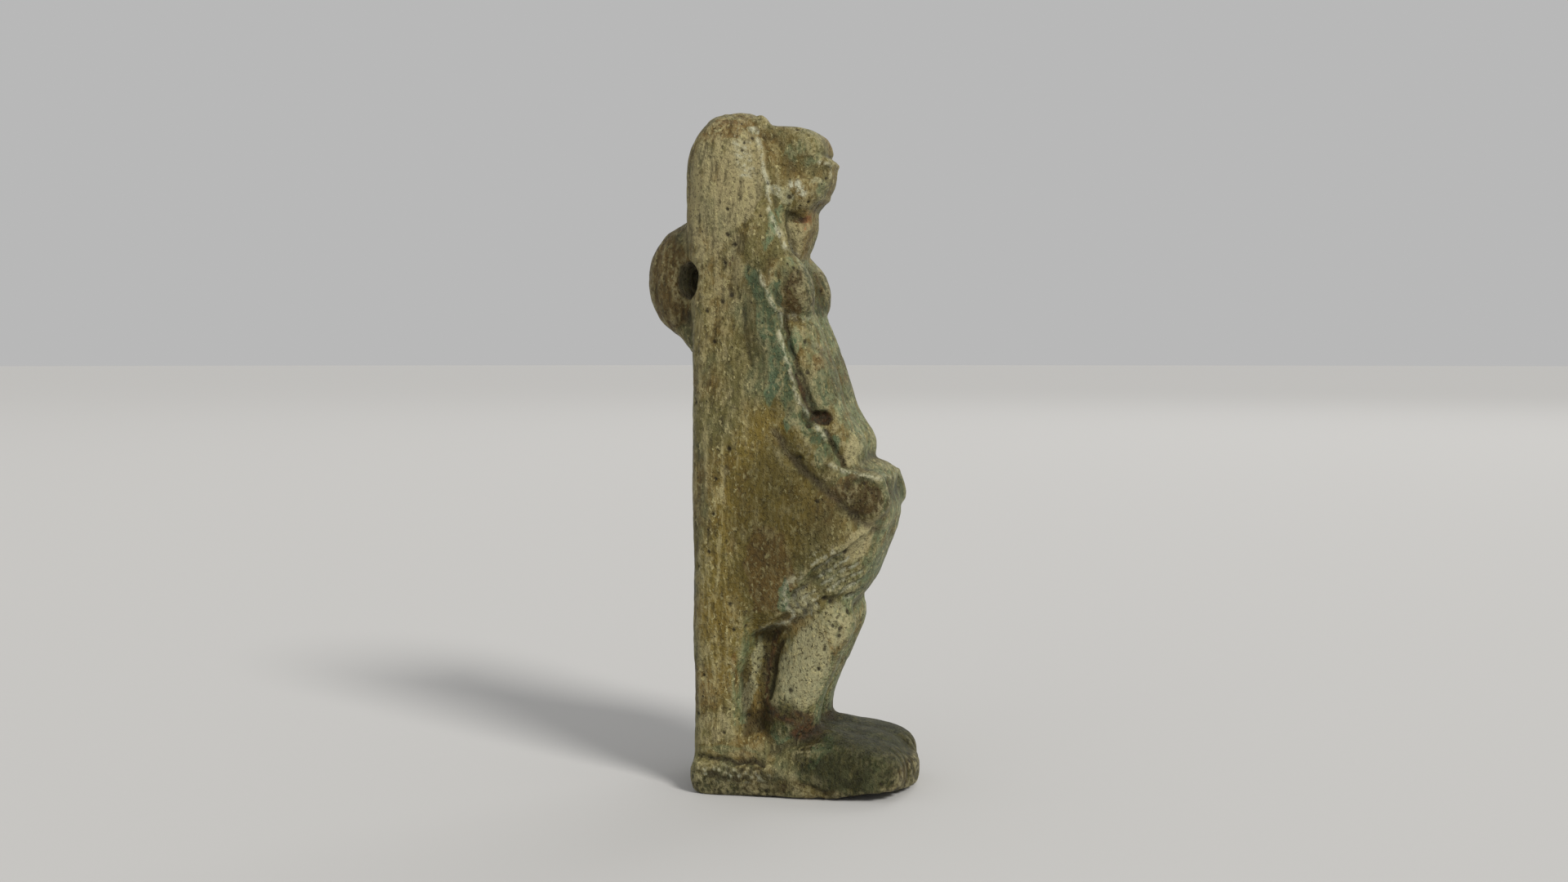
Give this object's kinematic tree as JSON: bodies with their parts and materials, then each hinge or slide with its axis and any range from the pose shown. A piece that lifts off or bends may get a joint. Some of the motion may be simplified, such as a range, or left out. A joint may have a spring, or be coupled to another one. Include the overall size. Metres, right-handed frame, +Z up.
{
  "type": "amulet figurine",
  "caption": "Moulded faience amulet of a standing hippopotamus goddess on a low base, with a long wig down her back and a threading loop behind the neck.",
  "frame": {"origin": "middle of the base's flat underside", "axes": "+Z up the figure, -Y the way she faces, +X her left side"},
  "size_m": [0.0148, 0.0246, 0.06],
  "materials": {
    "glaze": "worn, mostly matt faience glaze, olive brown with pale green wear and reddish deposits"
  },
  "bodies": {
    "root": {"figurine": "glaze"}
  },
  "joints": []
}
